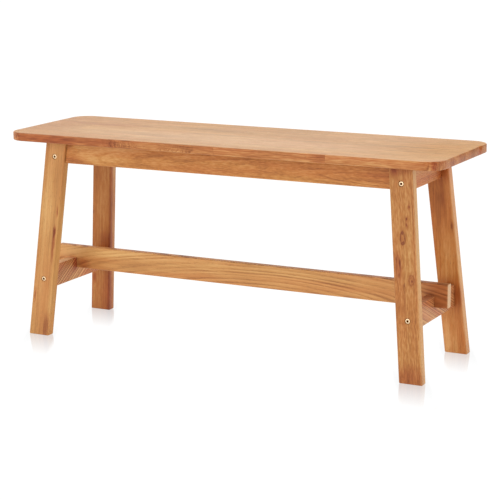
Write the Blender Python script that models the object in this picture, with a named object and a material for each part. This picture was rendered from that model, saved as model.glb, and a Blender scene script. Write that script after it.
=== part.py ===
"""A long wooden bench: a slab seat on four splayed board legs, tied by aprons, cross rails and a lapped stretcher.

Metres, +Z up. The origin is on the floor under the middle of the seat, +X runs along the seat and -Y is the front.
"""

import itertools
import math

import bmesh
import bpy
import numpy as np
from mathutils import Matrix, Vector

for old in list(bpy.data.objects):
    bpy.data.objects.remove(old)

# Seat: one edge-glued panel with round plan corners
seat_length = 1.000
seat_width = 0.300
seat_thickness = 0.018
seat_height = 0.450
seat_corner_radius = 0.040
seat_arris = 0.0025

# Legs: flat boards whose wide faces look to the front and the back, splayed both ways
leg_width = 0.0495
leg_thickness = 0.020
leg_end_overhang = 0.074  # from the seat's end in to the leg's outer edge, at the seat's underside
leg_front_overhang = 0.045  # from the seat's long edge in to the leg's wide face, at the seat's underside
end_splay = math.radians(5.3)
front_splay = math.radians(4.3)

# Aprons under the seat
long_apron_height = 0.0495
long_apron_thickness = 0.020
long_apron_set_back = 0.0055  # from the leg's wide face in to the apron's face
end_apron_height = 0.054
end_apron_thickness = 0.020

# Cross rails between the legs of each end, and the stretcher lapped over them
rail_height = 0.049
rail_thickness = 0.020
rail_floor_clearance = 0.103
stretcher_overhang = 0.029  # from a cross rail's outer face out to the stretcher's end
stretcher_height = 0.050
stretcher_thickness = 0.018
lap_depth = 0.012  # how far each of the two boards is notched at a crossing

# Eased arrises of every board but the seat
board_arris = 0.002

# Connector bolts, level, through the legs into end aprons and cross rails
end_apron_bolt_rise = 0.018  # from the board's bottom edge up to its bolt
cross_rail_bolt_rise = 0.023
bolt_radius = 0.003
bolt_head_radius = 0.005
bolt_head_height = 0.006
bolt_head_chamfer = 0.0005
bolt_head_recess = 0.0006  # from the leg's wide face in to the top of the head
bolt_tip_chamfer = 0.0008
bolt_tip_room = 0.002
counterbore_margin = 0.001  # between the head and the wall of its counterbore
socket_across_flats = 0.005
socket_depth = 0.003

# Barrel nuts, upright, from the bottom edges of end aprons and cross rails
nut_radius = 0.005
nut_length = 0.014
nut_chamfer = 0.0005
nut_inset = 0.029  # from the board's end in to the nut's axis
nut_slot_width = 0.0012
nut_slot_depth = 0.0015

# Dowels: one beside each bolt, and a pair at each end of a long apron
dowel_radius = 0.004
dowel_chamfer = 0.001
dowel_end_room = 0.001
joint_dowel_rise = 0.017  # from the bolt's axis up to the dowel's
joint_dowel_in_leg = 0.012
joint_dowel_in_board = 0.018
apron_dowel_spacing = 0.024
apron_dowel_in_leg = 0.012
apron_dowel_in_apron = 0.018

# Wood screws: aprons up into the seat, and cross rails up into the stretcher
screw_radius = 0.002
screw_head_radius = 0.004
screw_head_height = 0.0024
screw_head_chamfer = 0.0008
screw_point_length = 0.004
screw_drive_across_flats = 0.0025
screw_drive_depth = 0.0014
screw_counterbore_margin = 0.001
seat_screw_through = 0.024  # of the apron's wood, under the seat, that the shank passes
seat_screw_bite = 0.012
long_apron_screw_shares = (-0.34, 0.0, 0.34)  # of the apron's length, from its middle
lap_screw_counterbore = 0.010
lap_screw_bite = 0.016

# Clearances
fit_gap = 0.00025  # between faces that meet, and round anything in its hole
overrun = 0.002  # how far a cut passes the surface it opens
weld_distance = 0.000001

# Facet counts
seat_corner_steps = 10
arris_steps = 2
head_sides = 20
bore_sides = 16
small_sides = 12
hexagon_sides = 6

smooth_angle = math.radians(40)
arris_angle = math.radians(30)

# Places worked out from the sizes above
seat_underside = seat_height - seat_thickness
rail_top = rail_floor_clearance + rail_height
stretcher_bottom = rail_top - lap_depth - lap_depth
stretcher_top = stretcher_bottom + stretcher_height
long_apron_bottom = seat_underside - long_apron_height
long_apron_middle = seat_underside - long_apron_height / 2
end_apron_bottom = seat_underside - end_apron_height
upper_bolt_height = end_apron_bottom + end_apron_bolt_rise
lower_bolt_height = rail_floor_clearance + cross_rail_bolt_rise
leg_top_x = seat_length / 2 - leg_end_overhang
leg_top_y = seat_width / 2 - leg_front_overhang
drift_x = math.tan(end_splay) / math.cos(front_splay)  # how far a leg leans out along the bench for each unit down
drift_y = math.tan(front_splay)

SIDES = {"left": -1, "right": 1}
FACES = {"front": -1, "back": 1}
UP = Vector((0, 0, 1))


# Finishes

def finish(name, colour, roughness, metallic=0.0):
    """A material with one Principled surface; the colour is linear RGB."""
    material = bpy.data.materials.new(name)
    material.use_nodes = True
    surface = material.node_tree.nodes["Principled BSDF"]
    surface.inputs["Base Color"].default_value = (*colour, 1.0)
    surface.inputs["Roughness"].default_value = roughness
    surface.inputs["Metallic"].default_value = metallic
    return material


# Every piece hangs from this empty at the bench's origin
bench = bpy.data.objects.new("bench", None)
bpy.context.scene.collection.objects.link(bench)


# Planes and boards

def plane(normal, point):
    """A plane as its unit normal and its distance from the origin along it."""
    normal = np.array(normal, float)
    normal = normal / np.linalg.norm(normal)
    return normal, float(normal @ np.array(point, float))


def shifted(surface, distance):
    """The plane moved along its own normal."""
    normal, offset = surface
    return normal, offset + distance


def level(height):
    return plane((0, 0, 1), (0, 0, height))


def across_x(x):
    return plane((1, 0, 0), (x, 0, 0))


def across_y(y):
    return plane((0, 1, 0), (0, y, 0))


def meeting_point(surfaces):
    """The one point that three planes share."""
    normals = np.array([normal for normal, _ in surfaces])
    offsets = np.array([offset for _, offset in surfaces])
    return np.linalg.solve(normals, offsets)


def add_object(name, mesh, material=None, matrix=None):
    """Links a new object under the bench's empty."""
    thing = bpy.data.objects.new(name, mesh)
    bpy.context.scene.collection.objects.link(thing)
    if material is not None:
        mesh.materials.clear()
        mesh.materials.append(material)
    thing.parent = bench
    if matrix is not None:
        thing.matrix_world = matrix
    return thing


def mesh_from(shape, name):
    """Turns a bmesh into a mesh with its faces pointing out."""
    bmesh.ops.recalc_face_normals(shape, faces=shape.faces)
    mesh = bpy.data.meshes.new(name)
    shape.to_mesh(mesh)
    shape.free()
    return mesh


def ease_arrises(thing, radius):
    bevel = thing.modifiers.new("eased arrises", "BEVEL")
    bevel.width = radius
    bevel.segments = arris_steps
    bevel.limit_method = "ANGLE"
    bevel.angle_limit = arris_angle
    bevel.harden_normals = True
    thing.data.shade_smooth()
    thing.data.set_sharp_from_angle(angle=smooth_angle)


def board(name, material, pairs):
    """A straight board between three pairs of opposite planes, with eased arrises."""
    ends = list(itertools.product((0, 1), repeat=3))
    corners = {end: meeting_point([pair[side] for pair, side in zip(pairs, end)]) for end in ends}
    middle = sum(corners.values()) / len(corners)
    shape = bmesh.new()
    points = {end: shape.verts.new(corner - middle) for end, corner in corners.items()}
    for axis, side in itertools.product(range(3), (0, 1)):
        ring = [list(turn) for turn in ((0, 0), (0, 1), (1, 1), (1, 0))]
        for turn in ring:
            turn.insert(axis, side)
        shape.faces.new([points[tuple(turn)] for turn in ring])
    thing = add_object(name, mesh_from(shape, name), material, Matrix.Translation(middle))
    ease_arrises(thing, board_arris)
    return thing


# Turned solids and cutters

def pointing(start, direction):
    """A placement whose local +Z runs along the direction from the start."""
    turn = Vector(direction).to_track_quat("Z", "Y").to_matrix().to_4x4()
    return Matrix.Translation(Vector(start)) @ turn


def turned(profile, sides):
    """A closed solid of revolution round Z. The profile lists (height, radius) from one end to the other."""
    outline = [(profile[0][0], 0), *profile, (profile[-1][0], 0)]
    shape = bmesh.new()
    points = [shape.verts.new((radius, 0, height)) for height, radius in outline]
    edges = [shape.edges.new(pair) for pair in zip(points, points[1:])]
    bmesh.ops.spin(
        shape, geom=points + edges, cent=(0, 0, 0), axis=(0, 0, 1), angle=math.tau, steps=sides, use_merge=True
    )
    bmesh.ops.remove_doubles(shape, verts=shape.verts, dist=weld_distance)
    return shape


def rod(radius, start, end, sides):
    return turned([(start, radius), (end, radius)], sides)


def hexagon(across_flats, start, end):
    """A hexagonal prism along Z."""
    return rod(across_flats / 2 / math.cos(math.pi / hexagon_sides), start, end, hexagon_sides)


def block(low, high):
    """A plain box between two corners."""
    shape = bmesh.new()
    bmesh.ops.create_cube(shape, size=1)
    low, high = Vector(low), Vector(high)
    scale = Matrix.Diagonal(high - low).to_4x4()
    shape.transform(Matrix.Translation((low + high) / 2) @ scale)
    return shape


def cutter(name, pieces):
    """One hidden helper that holds several separate closed shapes, each with its placement."""
    joined = bmesh.new()
    for shape, matrix in pieces:
        shape.transform(matrix)
        loose = mesh_from(shape, name)
        joined.from_mesh(loose)
        bpy.data.meshes.remove(loose)
    helper = add_object(name, mesh_from(joined, name))
    helper.hide_render = True
    helper.display_type = "WIRE"
    return helper


def cut(thing, what, pieces):
    """Takes shapes out of an object. The shapes in one call don't touch each other."""
    modifier = thing.modifiers.new(what, "BOOLEAN")
    modifier.operation = "DIFFERENCE"
    modifier.solver = "EXACT"
    modifier.object = cutter(f"{thing.name} {what}", pieces)


def finished_mesh(thing):
    """The mesh with its modifiers done, to be shared by copies. The object and its cutters go."""
    graph = bpy.context.evaluated_depsgraph_get()
    mesh = bpy.data.meshes.new_from_object(thing.evaluated_get(graph))
    for modifier in thing.modifiers:
        bpy.data.objects.remove(modifier.object)
    bpy.data.objects.remove(thing)
    mesh.shade_smooth()
    mesh.set_sharp_from_angle(angle=smooth_angle)
    return mesh


# Places on the splayed legs

def leg_lean(height):
    """How far below the seat's underside a height lies."""
    return seat_underside - height


def leg_face_y(height):
    """Distance from the middle of the bench to the leg's outer wide face."""
    return leg_top_y + leg_lean(height) * drift_y


def leg_inner_face_y(height):
    return leg_face_y(height) - leg_thickness / math.cos(front_splay)


def leg_outer_edge_x(height):
    """Distance from the middle of the bench to the leg's outer edge, on its wide face."""
    return leg_top_x + leg_lean(height) * drift_x


def leg_centre_x(height):
    return leg_outer_edge_x(height) - leg_width / 2 / math.cos(end_splay)


def leg_inner_edge_x(height):
    return leg_outer_edge_x(height) - leg_width / math.cos(end_splay)


def wide_face(face):
    """The outer wide face of the legs on the front or the back."""
    normal = (0, face * math.cos(front_splay), math.sin(front_splay))
    return plane(normal, (0, face * leg_top_y, seat_underside))


def outer_edge(side, face):
    """The outer narrow face of one leg."""
    slope = math.sin(end_splay)
    normal = (
        side * math.cos(end_splay),
        -face * slope * math.sin(front_splay),
        slope * math.cos(front_splay),
    )
    return plane(normal, (side * leg_top_x, face * leg_top_y, seat_underside))


# Where each bolted board stands: its middle along the bench and its bolt's height
BOLTED = {"end_apron": upper_bolt_height, "cross_rail": lower_bolt_height}


def bolted_end_y(height):
    """Distance from the middle of the bench to a bolted board's end, at a height."""
    return leg_inner_face_y(height) - fit_gap


# Bores, shared by every board that a bolt, nut, dowel or screw passes into

def head_bore():
    """A stepped bore along +Z from a leg's wide face: the head's counterbore, then the shank's hole."""
    floor = bolt_head_recess + bolt_head_height + fit_gap
    hole = bolt_radius + fit_gap
    wide = bolt_head_radius + counterbore_margin
    through = leg_thickness / math.cos(front_splay) + overrun
    return turned([(-overrun, wide), (floor, wide), (floor, hole), (through, hole)], head_sides)


def shank_bore():
    """The bolt's hole along +Z from a board's end, as deep as the bolt reaches."""
    depth = nut_inset + nut_radius + bolt_tip_room + bolt_tip_room
    return rod(bolt_radius + fit_gap, -overrun, depth, bore_sides)


def dowel_bore(depth):
    """A dowel's hole along +Z. It starts outside the face it opens."""
    return rod(dowel_radius + fit_gap, -overrun, depth + dowel_end_room, small_sides)


def screw_bore(counterbore, length):
    """A stepped bore up from a board's bottom edge: the screw's counterbore, then its clearance hole."""
    wide = screw_head_radius + screw_counterbore_margin
    hole = screw_radius + fit_gap
    return turned([(-overrun, wide), (counterbore, wide), (counterbore, hole), (length, hole)], small_sides)


def seat_screw_counterbore(apron_height):
    """How deep a seat screw's head sits in an apron, from its bottom edge."""
    return apron_height - seat_screw_through


def pilot_bore(bite):
    return rod(screw_radius + fit_gap, -overrun, bite + fit_gap, small_sides)


# Legs

def make_leg(side_name, face_name, material):
    side, face = SIDES[side_name], FACES[face_name]
    wide, edge = wide_face(face), outer_edge(side, face)
    leg = board(
        f"{face_name}_{side_name}_leg",
        material,
        [
            (shifted(edge, -leg_width), edge),
            (shifted(wide, -leg_thickness), wide),
            (level(0), level(seat_underside - fit_gap)),
        ],
    )
    inward = (0, -face, 0)
    outward = (0, face, 0)
    bolt_bores = []
    dowel_bores = []
    for height in BOLTED.values():
        x = side * leg_centre_x(height)
        bolt_bores.append((head_bore(), pointing((x, face * leg_face_y(height), height), inward)))
        rise = height + joint_dowel_rise
        seat_of_dowel = (x, face * leg_inner_face_y(rise), rise)
        dowel_bores.append((dowel_bore(joint_dowel_in_leg), pointing(seat_of_dowel, outward)))
    for height in apron_dowel_heights():
        mouth = (side * leg_inner_edge_x(height), face * apron_dowel_y(height), height)
        dowel_bores.append((dowel_bore(apron_dowel_in_leg), pointing(mouth, (side, 0, 0))))
    cut(leg, "bolt bores", bolt_bores)
    cut(leg, "dowel bores", dowel_bores)
    return leg


# Long aprons, parallel to the legs' wide faces, between the two legs of the front or the back

def apron_dowel_heights():
    return (long_apron_middle - apron_dowel_spacing / 2, long_apron_middle + apron_dowel_spacing / 2)


def apron_dowel_y(height):
    """The dowels run in the middle of the wood that apron and leg share."""
    depth = (long_apron_set_back + leg_thickness) / 2
    return leg_face_y(height) - depth / math.cos(front_splay)


def long_apron_middle_y(height):
    return leg_face_y(height) - (long_apron_set_back + long_apron_thickness / 2) / math.cos(front_splay)


def long_apron_screw_places():
    reach = leg_inner_edge_x(long_apron_middle) * 2
    return [share * reach for share in long_apron_screw_shares]


def make_long_apron(face_name, material):
    face = FACES[face_name]
    wide = wide_face(face)
    ends = [shifted(outer_edge(side, face), -leg_width - fit_gap) for side in SIDES.values()]
    apron = board(
        f"{face_name}_long_apron",
        material,
        [
            ends,
            (shifted(wide, -long_apron_set_back - long_apron_thickness), shifted(wide, -long_apron_set_back)),
            (level(long_apron_bottom), level(seat_underside - fit_gap)),
        ],
    )
    dowel_bores = []
    for side, height in itertools.product(SIDES.values(), apron_dowel_heights()):
        mouth = (side * leg_inner_edge_x(height), face * apron_dowel_y(height), height)
        dowel_bores.append((dowel_bore(apron_dowel_in_apron), pointing(mouth, (-side, 0, 0))))
    cut(apron, "dowel bores", dowel_bores)
    y = face * long_apron_middle_y(long_apron_middle)
    depth = seat_screw_counterbore(long_apron_height)
    screw_bores = [
        (screw_bore(depth, long_apron_height + overrun), pointing((x, y, long_apron_bottom), UP))
        for x in long_apron_screw_places()
    ]
    cut(apron, "screw bores", screw_bores)
    return apron


# End aprons and cross rails: level boards bolted between the front and the back leg of one end

def nut_y(height):
    return bolted_end_y(height) - nut_inset


def make_bolted_board(kind, side_name, material, thickness, bottom, top):
    """A board between two legs, its ends cut to the splay, bored for two bolts, nuts and dowels."""
    side, height = SIDES[side_name], BOLTED[kind]
    x = side * leg_centre_x(height)
    ends = [shifted(wide_face(face), -leg_thickness - fit_gap) for face in FACES.values()]
    thing = board(
        f"{side_name}_{kind}",
        material,
        [(across_x(x - thickness / 2), across_x(x + thickness / 2)), ends, (level(bottom), level(top))],
    )
    rise = height + joint_dowel_rise
    bores = []
    nut_bores = []
    for face in FACES.values():
        inward = (0, -face, 0)
        bores.append((shank_bore(), pointing((x, face * bolted_end_y(height), height), inward)))
        mouth = (x, face * bolted_end_y(rise), rise)
        bores.append((dowel_bore(joint_dowel_in_board), pointing(mouth, inward)))
        nut_top = height - bottom + nut_length / 2 + fit_gap
        nut_bore = rod(nut_radius + fit_gap, -overrun, nut_top, bore_sides)
        nut_bores.append((nut_bore, pointing((x, face * nut_y(height), bottom), UP)))
    cut(thing, "bolt and dowel bores", bores)
    cut(thing, "nut bores", nut_bores)
    return thing


def make_end_apron(side_name, material):
    apron = make_bolted_board(
        "end_apron", side_name, material, end_apron_thickness, end_apron_bottom, seat_underside - fit_gap
    )
    x = SIDES[side_name] * leg_centre_x(upper_bolt_height)
    bore = screw_bore(seat_screw_counterbore(end_apron_height), end_apron_height + overrun)
    cut(apron, "screw bore", [(bore, pointing((x, 0, end_apron_bottom), UP))])
    return apron


def make_cross_rail(side_name, material):
    rail = make_bolted_board(
        "cross_rail", side_name, material, rail_thickness, rail_floor_clearance, rail_top
    )
    x = SIDES[side_name] * leg_centre_x(lower_bolt_height)
    half_length = rail_thickness / 2 + overrun
    half_width = stretcher_thickness / 2 + fit_gap
    floor = rail_top - lap_depth - fit_gap
    notch = block((x - half_length, -half_width, floor), (x + half_length, half_width, rail_top + overrun))
    cut(rail, "lap notch", [(notch, Matrix())])
    bore = screw_bore(lap_screw_counterbore, rail_height + overrun)
    cut(rail, "screw bore", [(bore, pointing((x, 0, rail_floor_clearance), UP))])
    return rail


# Stretcher, lapped over both cross rails

def make_stretcher(material):
    half = leg_centre_x(lower_bolt_height) + rail_thickness / 2 + stretcher_overhang
    stretcher = board(
        "stretcher",
        material,
        [
            (across_x(-half), across_x(half)),
            (across_y(-stretcher_thickness / 2), across_y(stretcher_thickness / 2)),
            (level(stretcher_bottom), level(stretcher_top)),
        ],
    )
    notches = []
    pilots = []
    half_width = rail_thickness / 2 + fit_gap
    half_depth = stretcher_thickness / 2 + overrun
    ceiling = stretcher_bottom + lap_depth
    for side in SIDES.values():
        x = side * leg_centre_x(lower_bolt_height)
        low = (x - half_width, -half_depth, stretcher_bottom - overrun)
        high = (x + half_width, half_depth, ceiling)
        notches.append((block(low, high), Matrix()))
        pilots.append((pilot_bore(lap_screw_bite), pointing((x, 0, ceiling), UP)))
    cut(stretcher, "lap notches", notches)
    cut(stretcher, "pilot holes", pilots)
    return stretcher


# Seat panel

def seat_screw_places():
    """Where the aprons' screws enter the seat, by name."""
    places = {}
    y = long_apron_middle_y(long_apron_middle)
    for face_name, face in FACES.items():
        for number, x in enumerate(long_apron_screw_places(), 1):
            places[f"{face_name}_seat_screw_{number}"] = (x, face * y)
    for side_name, side in SIDES.items():
        places[f"{side_name}_seat_screw"] = (side * leg_centre_x(upper_bolt_height), 0)
    return places


def make_seat(material):
    """A slab extruded from its plan, a rectangle with four quarter-circle corners."""
    shape = bmesh.new()
    middle_x = seat_length / 2 - seat_corner_radius
    middle_y = seat_width / 2 - seat_corner_radius
    quarter = math.pi / 2
    outline = []
    for corner, (side, face) in enumerate(((1, 1), (-1, 1), (-1, -1), (1, -1))):
        for step in range(seat_corner_steps + 1):
            angle = (corner + step / seat_corner_steps) * quarter
            x = side * middle_x + seat_corner_radius * math.cos(angle)
            y = face * middle_y + seat_corner_radius * math.sin(angle)
            outline.append(shape.verts.new((x, y, 0)))
    plan = shape.faces.new(outline)
    raised = bmesh.ops.extrude_face_region(shape, geom=[plan])
    top = [item for item in raised["geom"] if isinstance(item, bmesh.types.BMVert)]
    bmesh.ops.translate(shape, verts=top, vec=(0, 0, seat_thickness))
    seat = add_object(
        "seat_panel", mesh_from(shape, "seat_panel"), material, Matrix.Translation((0, 0, seat_underside))
    )
    ease_arrises(seat, seat_arris)
    pilots = [
        (pilot_bore(seat_screw_bite), pointing((x, y, seat_underside), UP))
        for x, y in seat_screw_places().values()
    ]
    cut(seat, "pilot holes", pilots)
    return seat


# Metal fixings and dowels. Each mesh runs along its own +Z, the way the piece is driven

def bolt_length():
    """From the top of the head to the tip, just past the barrel nut."""
    through_leg = leg_thickness / math.cos(front_splay) - bolt_head_recess
    return through_leg + fit_gap + nut_inset + nut_radius + bolt_tip_room


def bolt_mesh():
    length = bolt_length()
    shape = turned(
        [
            (0, bolt_head_radius - bolt_head_chamfer),
            (bolt_head_chamfer, bolt_head_radius),
            (bolt_head_height, bolt_head_radius),
            (bolt_head_height, bolt_radius),
            (length - bolt_tip_chamfer, bolt_radius),
            (length, bolt_radius - bolt_tip_chamfer),
        ],
        head_sides,
    )
    blank = add_object("bolt blank", mesh_from(shape, "bolt"))
    cut(blank, "socket", [(hexagon(socket_across_flats, -overrun, socket_depth), Matrix())])
    return finished_mesh(blank)


def nut_mesh():
    """A barrel nut along Z about its middle, its cross hole along Y and a slot in its lower end."""
    half = nut_length / 2
    shape = turned(
        [
            (-half, nut_radius - nut_chamfer),
            (nut_chamfer - half, nut_radius),
            (half - nut_chamfer, nut_radius),
            (half, nut_radius - nut_chamfer),
        ],
        bore_sides,
    )
    blank = add_object("nut blank", mesh_from(shape, "nut"))
    reach = nut_radius + overrun
    cross_hole = rod(bolt_radius + fit_gap, -reach, reach, small_sides)
    cut(blank, "cross hole", [(cross_hole, pointing((0, 0, 0), (0, 1, 0)))])
    half_slot = nut_slot_width / 2
    slot = block((-reach, -half_slot, -half - overrun), (reach, half_slot, nut_slot_depth - half))
    cut(blank, "slot", [(slot, Matrix())])
    return finished_mesh(blank)


def dowel_mesh(length):
    shape = turned(
        [
            (0, dowel_radius - dowel_chamfer),
            (dowel_chamfer, dowel_radius),
            (length - dowel_chamfer, dowel_radius),
            (length, dowel_radius - dowel_chamfer),
        ],
        small_sides,
    )
    mesh = mesh_from(shape, "dowel")
    mesh.shade_smooth()
    mesh.set_sharp_from_angle(angle=smooth_angle)
    return mesh


def screw_mesh(length):
    """A wood screw from the top of its head to its point."""
    shape = turned(
        [
            (0, screw_head_radius - screw_head_chamfer),
            (screw_head_chamfer, screw_head_radius),
            (screw_head_height, screw_head_radius),
            (screw_head_height, screw_radius),
            (length - screw_point_length, screw_radius),
            (length, 0),
        ],
        small_sides,
    )
    blank = add_object("screw blank", mesh_from(shape, "screw"))
    drive = hexagon(screw_drive_across_flats, -overrun, screw_drive_depth)
    cut(blank, "drive", [(drive, Matrix())])
    return finished_mesh(blank)


def place_leg_joints(bolt, nut, dowel, steel, plated, beech):
    """A bolt, a barrel nut and a dowel for each of the eight joints between a leg and a bolted board."""
    for (kind, height), (side_name, side), (face_name, face) in itertools.product(
        BOLTED.items(), SIDES.items(), FACES.items()
    ):
        joint = f"{face_name}_{side_name}_{kind}"
        x = side * leg_centre_x(height)
        inward = (0, -face, 0)
        head_top = (x, face * (leg_face_y(height) - bolt_head_recess), height)
        add_object(f"{joint}_bolt", bolt, plated, pointing(head_top, inward))
        nut_place = Matrix.Translation((x, face * nut_y(height), height))
        add_object(f"{joint}_nut", nut, steel, nut_place)
        rise = height + joint_dowel_rise
        dowel_end = (x, face * (leg_inner_face_y(rise) + joint_dowel_in_leg), rise)
        add_object(f"{joint}_dowel", dowel, beech, pointing(dowel_end, inward))


def place_apron_dowels(dowel, beech):
    for (side_name, side), (face_name, face) in itertools.product(SIDES.items(), FACES.items()):
        for row, height in zip(("lower", "upper"), apron_dowel_heights()):
            start = side * (leg_inner_edge_x(height) + apron_dowel_in_leg)
            place = pointing((start, face * apron_dowel_y(height), height), (-side, 0, 0))
            add_object(f"{face_name}_{side_name}_{row}_apron_dowel", dowel, beech, place)


def place_screws(seat_screw, lap_screw, steel):
    for name, (x, y) in seat_screw_places().items():
        head_top = seat_underside - seat_screw_through - screw_head_height - fit_gap
        add_object(name, seat_screw, steel, pointing((x, y, head_top), UP))
    for side_name, side in SIDES.items():
        x = side * leg_centre_x(lower_bolt_height)
        head_top = rail_floor_clearance + lap_screw_counterbore - screw_head_height - fit_gap
        add_object(f"{side_name}_lap_screw", lap_screw, steel, pointing((x, 0, head_top), UP))


# The whole bench

seat_wood = finish("seat wood, pale tan", (0.58, 0.36, 0.22), 0.45)
leg_wood = finish("leg wood, honey brown", (0.50, 0.25, 0.10), 0.45)
apron_wood = finish("apron wood, golden brown", (0.48, 0.23, 0.09), 0.45)
rail_wood = finish("cross rail wood, pinkish brown", (0.40, 0.22, 0.13), 0.50)
stretcher_wood = finish("stretcher wood, golden", (0.52, 0.28, 0.12), 0.45)
plated_steel = finish("bolt, pale brass plate", (0.80, 0.68, 0.48), 0.28, 1.0)
zinc_steel = finish("nut and screw, zinc", (0.56, 0.56, 0.55), 0.38, 1.0)
dowel_beech = finish("dowel, plain beech", (0.62, 0.45, 0.28), 0.70)

make_seat(seat_wood)
for each_side, each_face in itertools.product(SIDES, FACES):
    make_leg(each_side, each_face, leg_wood)
for each_face in FACES:
    make_long_apron(each_face, apron_wood)
for each_side in SIDES:
    make_end_apron(each_side, apron_wood)
    make_cross_rail(each_side, rail_wood)
make_stretcher(stretcher_wood)

joint_dowel = dowel_mesh(joint_dowel_in_leg + joint_dowel_in_board)
apron_dowel = dowel_mesh(apron_dowel_in_leg + apron_dowel_in_apron)
place_leg_joints(bolt_mesh(), nut_mesh(), joint_dowel, zinc_steel, plated_steel, dowel_beech)
place_apron_dowels(apron_dowel, dowel_beech)
head_under = screw_head_height + fit_gap
seat_screw_length = head_under + seat_screw_through + seat_screw_bite
lap_screw_length = head_under + rail_height - lap_depth - lap_screw_counterbore + lap_screw_bite
place_screws(screw_mesh(seat_screw_length), screw_mesh(lap_screw_length), zinc_steel)
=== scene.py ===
"""A long bench of oiled oak.

Its seat of glued staves stands on splayed board legs, with aprons under the seat, low cross rails and a
stretcher halved over them.
"""
import functools
import itertools
import math

import bmesh
import bpy
from mathutils import Matrix, Vector


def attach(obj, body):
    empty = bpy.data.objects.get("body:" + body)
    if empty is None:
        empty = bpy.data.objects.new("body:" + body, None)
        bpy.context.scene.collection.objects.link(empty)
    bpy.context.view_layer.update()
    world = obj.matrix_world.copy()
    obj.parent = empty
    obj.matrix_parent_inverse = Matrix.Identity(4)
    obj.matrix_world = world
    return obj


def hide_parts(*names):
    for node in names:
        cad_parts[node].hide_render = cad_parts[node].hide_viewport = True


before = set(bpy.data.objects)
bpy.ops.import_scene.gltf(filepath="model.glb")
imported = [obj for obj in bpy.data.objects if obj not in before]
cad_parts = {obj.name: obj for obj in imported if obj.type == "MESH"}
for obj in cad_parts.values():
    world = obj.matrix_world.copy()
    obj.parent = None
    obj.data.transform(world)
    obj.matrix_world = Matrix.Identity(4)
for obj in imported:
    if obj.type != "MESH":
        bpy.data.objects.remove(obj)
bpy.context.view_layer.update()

# Sizes of the bench in metres, as its solids have them
seat_length = 1.000
seat_width = 0.300
seat_thickness = 0.018
seat_height = 0.450
seat_corner_radius = 0.040
seat_arris = 0.0025
leg_width = 0.0495
leg_thickness = 0.020
leg_end_overhang = 0.074
leg_front_overhang = 0.045
end_splay = math.radians(5.3)
front_splay = math.radians(4.3)
long_apron_height = 0.0495
long_apron_thickness = 0.020
long_apron_set_back = 0.0055
end_apron_height = 0.054
end_apron_thickness = 0.020
rail_height = 0.049
rail_thickness = 0.020
rail_floor_clearance = 0.103
stretcher_overhang = 0.029
stretcher_height = 0.050
stretcher_thickness = 0.018
lap_depth = 0.012
board_arris = 0.002
end_apron_bolt_rise = 0.018
cross_rail_bolt_rise = 0.023
bolt_radius = 0.003
bolt_head_radius = 0.005
bolt_head_height = 0.006
bolt_head_round = 0.0007
bolt_head_recess = 0.0006
counterbore_margin = 0.001
socket_across_flats = 0.005
socket_sides = 6
socket_depth = 0.003
socket_cone_depth = 0.001
socket_cone_share = 0.25
nut_radius = 0.005
nut_length = 0.014
nut_inset = 0.029
bolt_tip_room = 0.002
screw_radius = 0.002
screw_head_radius = 0.004
screw_counterbore_margin = 0.001
seat_screw_through = 0.024
long_apron_screw_shares = (-0.34, 0.0, 0.34)
lap_screw_counterbore = 0.010
fit_gap = 0.00025
overrun = 0.002
weld_distance = 0.000001
mm_per_metre = 1000

# How finely rounds are drawn
arris_steps = 4
arris_angle = math.radians(30)
corner_steps = 24
rim_steps = 4
bore_sides = 40
bolt_sides = 48
smooth_angle = math.radians(35)

# Places worked out from the sizes
seat_underside = seat_height - seat_thickness
rail_top = rail_floor_clearance + rail_height
stretcher_bottom = rail_top - 2 * lap_depth
stretcher_top = stretcher_bottom + stretcher_height
long_apron_bottom = seat_underside - long_apron_height
long_apron_middle = seat_underside - long_apron_height / 2
end_apron_bottom = seat_underside - end_apron_height
bolt_heights = {
    "end_apron": end_apron_bottom + end_apron_bolt_rise,
    "cross_rail": rail_floor_clearance + cross_rail_bolt_rise,
}
drift_x = math.tan(end_splay) / math.cos(front_splay)
drift_y = math.tan(front_splay)
sides = {"left": -1, "right": 1}
faces = {"front": -1, "back": 1}


# Shapes

def leg_face_y(height):
    """From the bench's middle out to a leg's wide face, at a height."""
    return seat_width / 2 - leg_front_overhang + (seat_underside - height) * drift_y


def leg_edge_x(height):
    """From the bench's middle out to a leg's outer edge, on its wide face, at a height."""
    return seat_length / 2 - leg_end_overhang + (seat_underside - height) * drift_x


def leg_centre_x(height):
    return leg_edge_x(height) - leg_width / 2 / math.cos(end_splay)


def long_apron_y(height):
    """From the bench's middle out to the middle of a long apron's thickness."""
    return leg_face_y(height) - (long_apron_set_back + long_apron_thickness / 2) / math.cos(front_splay)


def bolted_end_y(height):
    return leg_face_y(height) - leg_thickness / math.cos(front_splay) - fit_gap


def plane(normal, point):
    normal = Vector(normal).normalized()
    return normal, normal.dot(Vector(point))


def moved(surface, distance):
    return surface[0], surface[1] + distance


def wide_face(face):
    normal = (0, face * math.cos(front_splay), math.sin(front_splay))
    return plane(normal, (0, face * leg_face_y(seat_underside), seat_underside))


def outer_edge(side, face):
    slope = math.sin(end_splay)
    lean, rise = -face * slope * math.sin(front_splay), slope * math.cos(front_splay)
    normal = (side * math.cos(end_splay), lean, rise)
    top_corner = (side * leg_edge_x(seat_underside), face * leg_face_y(seat_underside), seat_underside)
    return plane(normal, top_corner)


def level(height):
    return plane((0, 0, 1), (0, 0, height))


def across_x(x):
    return plane((1, 0, 0), (x, 0, 0))


def meeting_point(surfaces):
    rows = Matrix([normal for normal, _ in surfaces])
    return rows.inverted() @ Vector([offset for _, offset in surfaces])


def pointing(start, direction):
    """A placement whose local +Z runs along the direction from the start."""
    return Matrix.Translation(Vector(start)) @ Vector(direction).to_track_quat("Z", "Y").to_matrix().to_4x4()


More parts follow.
